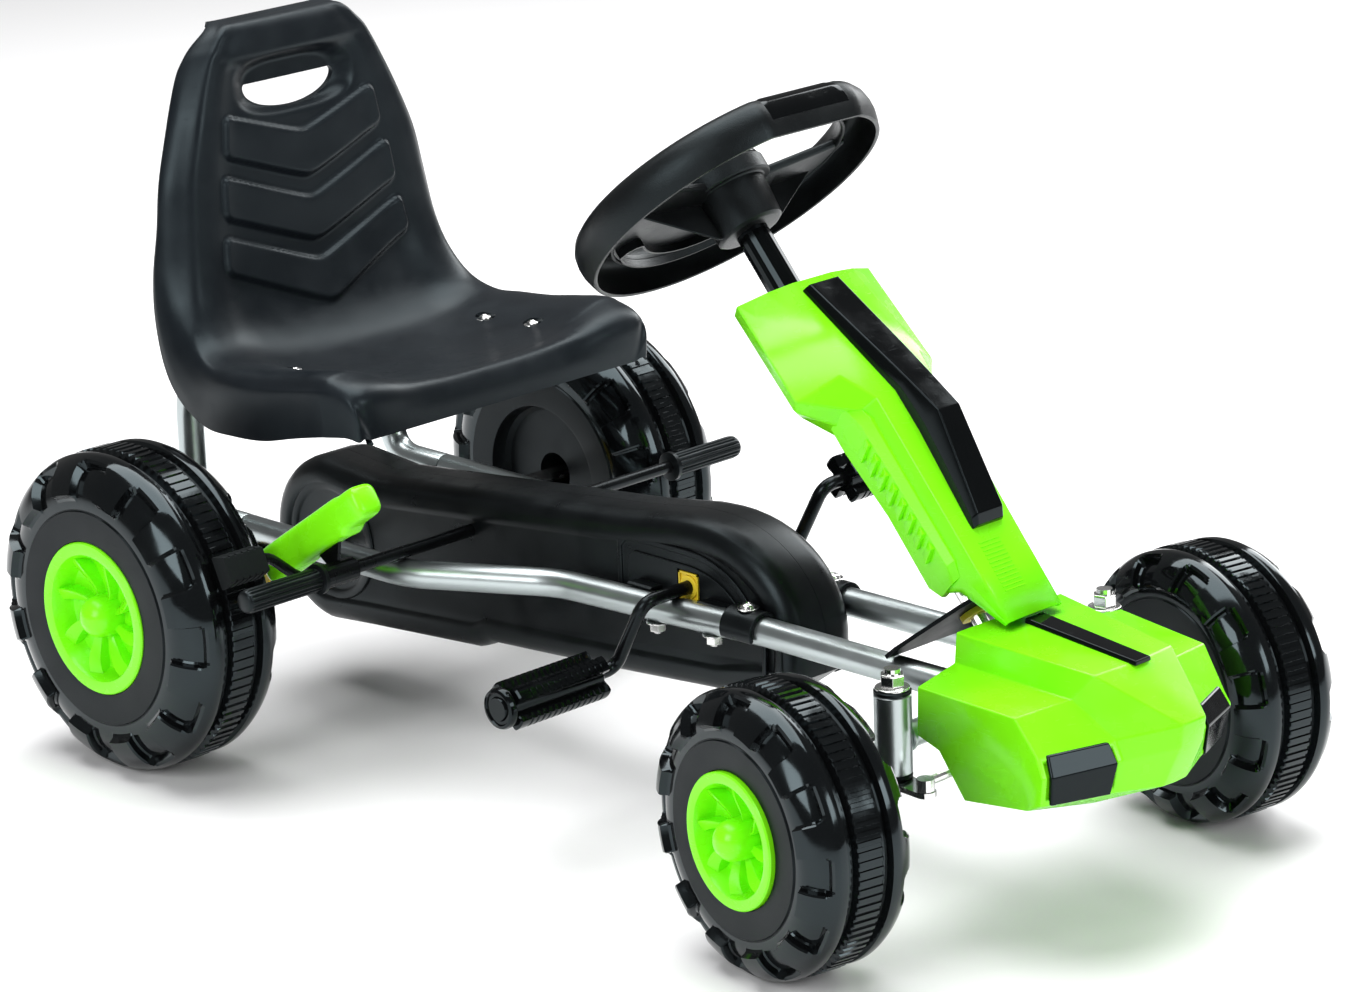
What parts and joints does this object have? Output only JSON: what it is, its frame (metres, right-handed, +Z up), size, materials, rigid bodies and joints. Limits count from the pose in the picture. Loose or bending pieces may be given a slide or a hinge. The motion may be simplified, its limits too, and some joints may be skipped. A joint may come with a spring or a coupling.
{
  "type": "pedal go kart",
  "caption": "Children's four-wheeled pedal kart with a bucket seat, a chain drive under a cover, a sloping steering column, a nose bumper and a hand brake.",
  "frame": {"origin": "on the floor, under the middle of the kart's length and width at rest", "axes": "+Z up, the kart travels towards -Y, +X is the rider's left"},
  "size_m": [0.5858, 0.9922, 0.5611],
  "materials": {
    "satin_tube": "satin silver plated tube",
    "zinc": "bright zinc plate",
    "black_steel": "gloss black paint",
    "seat_plastic": "charcoal, fine grain",
    "cover_plastic": "black, satin",
    "tyre_plastic": "gloss black with matte side discs",
    "green_plastic": "lime green, gloss",
    "gloss_black": "polished black",
    "wheel_grip": "textured black",
    "bush_yellow": "yellow bearing plastic",
    "pad_rubber": "matte black"
  },
  "bodies": {
    "frame": {"axle_bracket_left": "black_steel", "axle_bracket_right": "black_steel", "axle_bush_left": "bush_yellow", "axle_bush_right": "bush_yellow", "chain": "zinc", "chain_cover_left": "cover_plastic", "chain_cover_right": "cover_plastic", "column_bracket": "black_steel", "column_bush": "bush_yellow", "column_cover": "green_plastic", "cover_panel": "gloss_black", "crank_bush_left": "bush_yellow", "crank_bush_right": "bush_yellow", "foot_bar": "black_steel", "foot_peg_left": "cover_plastic", "foot_peg_right": "cover_plastic", "front_beam": "satin_tube", "kingpin_bush_lower_left": "cover_plastic", "kingpin_bush_lower_right": "cover_plastic", "kingpin_bush_upper_left": "cover_plastic", "kingpin_bush_upper_right": "cover_plastic", "lamp_left": "gloss_black", "lamp_right": "gloss_black", "main_tube_left": "satin_tube", "main_tube_right": "satin_tube", "nose_bumper": "green_plastic", "nose_strip": "gloss_black", "seat_shell": "seat_plastic", "seat_support_left": "satin_tube", "seat_support_right": "satin_tube"},
    "steering": {"steering_rod": "zinc", "column_sleeve": "gloss_black", "steering_wheel": "wheel_grip", "steering_cap": "gloss_black"},
    "rear_axle": {"rear_axle": "zinc", "axle_sprocket": "zinc", "tyre_rear_left": "tyre_plastic", "tyre_rear_right": "tyre_plastic", "rim_rear_left": "green_plastic", "rim_rear_right": "green_plastic"},
    "crank": {"crankshaft": "black_steel", "chainring": "zinc"},
    "brake": {"brake_lever": "black_steel", "brake_grip": "green_plastic", "brake_pad": "pad_rubber"},
    "knuckle_left": {"knuckle_left": "zinc", "kingpin_nut_left": "zinc"},
    "front_wheel_left": {"tyre_front_left": "tyre_plastic", "rim_front_left": "green_plastic"},
    "tie_rod_left": {"tie_rod_left": "zinc"},
    "pedal_left": {"pedal_left": "gloss_black", "pedal_cap_left": "gloss_black"},
    "knuckle_right": {"knuckle_right": "zinc", "kingpin_nut_right": "zinc"},
    "front_wheel_right": {"tyre_front_right": "tyre_plastic", "rim_front_right": "green_plastic"},
    "tie_rod_right": {"tie_rod_right": "zinc"},
    "pedal_right": {"pedal_right": "gloss_black", "pedal_cap_right": "gloss_black"}
  },
  "joints": [
    {"name": "steering_turn", "type": "hinge", "parent": "frame", "child": "steering", "pos_m": [0, -0.063, 0.4675], "axis": [0, 0.6561, 0.7547], "range_deg": [-8.2, 21]},
    {"name": "kingpin_left", "type": "hinge", "parent": "frame", "child": "knuckle_left", "pos_m": [0.113, -0.3165, 0.15], "axis": [0, 0, 1], "range_deg": [-12.4, 31.6]},
    {"name": "front_wheel_spin_left", "type": "hinge", "parent": "knuckle_left", "child": "front_wheel_left", "pos_m": [0.21012, -0.33293, 0.1042], "axis": [0.986, -0.1668, 0], "continuous": true},
    {"name": "tie_rod_left_end", "type": "hinge", "parent": "knuckle_left", "child": "tie_rod_left", "pos_m": [0.107, -0.352, 0.12], "axis": [0, 0, 1], "range_deg": [-31.6, 12.4]},
    {"name": "kingpin_right", "type": "hinge", "parent": "frame", "child": "knuckle_right", "pos_m": [-0.113, -0.3165, 0.15], "axis": [0, 0, 1], "range_deg": [-12.4, 31.6]},
    {"name": "front_wheel_spin_right", "type": "hinge", "parent": "knuckle_right", "child": "front_wheel_right", "pos_m": [-0.21012, -0.30007, 0.1042], "axis": [0.986, -0.1668, 0], "continuous": true},
    {"name": "tie_rod_right_end", "type": "hinge", "parent": "knuckle_right", "child": "tie_rod_right", "pos_m": [-0.119, -0.352, 0.12], "axis": [0, 0, 1], "range_deg": [-31.6, 12.4]},
    {"name": "rear_axle_spin", "type": "hinge", "parent": "frame", "child": "rear_axle", "pos_m": [0, 0.3695, 0.1275], "axis": [1, 0, 0], "continuous": true},
    {"name": "crank_spin", "type": "hinge", "parent": "frame", "child": "crank", "pos_m": [0, -0.0345, 0.1755], "axis": [1, 0, 0], "continuous": true},
    {"name": "pedal_left_spin", "type": "hinge", "parent": "crank", "child": "pedal_left", "pos_m": [0.15, -0.06328, 0.23199], "axis": [1, 0, 0], "continuous": true},
    {"name": "pedal_right_spin", "type": "hinge", "parent": "crank", "child": "pedal_right", "pos_m": [-0.15, -0.00572, 0.11901], "axis": [1, 0, 0], "continuous": true},
    {"name": "brake_pull", "type": "hinge", "parent": "frame", "child": "brake", "pos_m": [-0.168, 0.2095, 0.1695], "axis": [-1, 0, 0], "range_deg": [0, 8.5], "stiffness_Nm_per_rad": 0.6, "springref_deg": -2.86}
  ],
  "couplings": [
    {"joint": "kingpin_left", "follows": "steering_turn", "ratio": 1.5},
    {"joint": "tie_rod_left_end", "follows": "steering_turn", "ratio": -1.5},
    {"joint": "kingpin_right", "follows": "steering_turn", "ratio": 1.5},
    {"joint": "tie_rod_right_end", "follows": "steering_turn", "ratio": -1.5},
    {"joint": "crank_spin", "follows": "rear_axle_spin", "ratio": 0.66667}
  ]
}
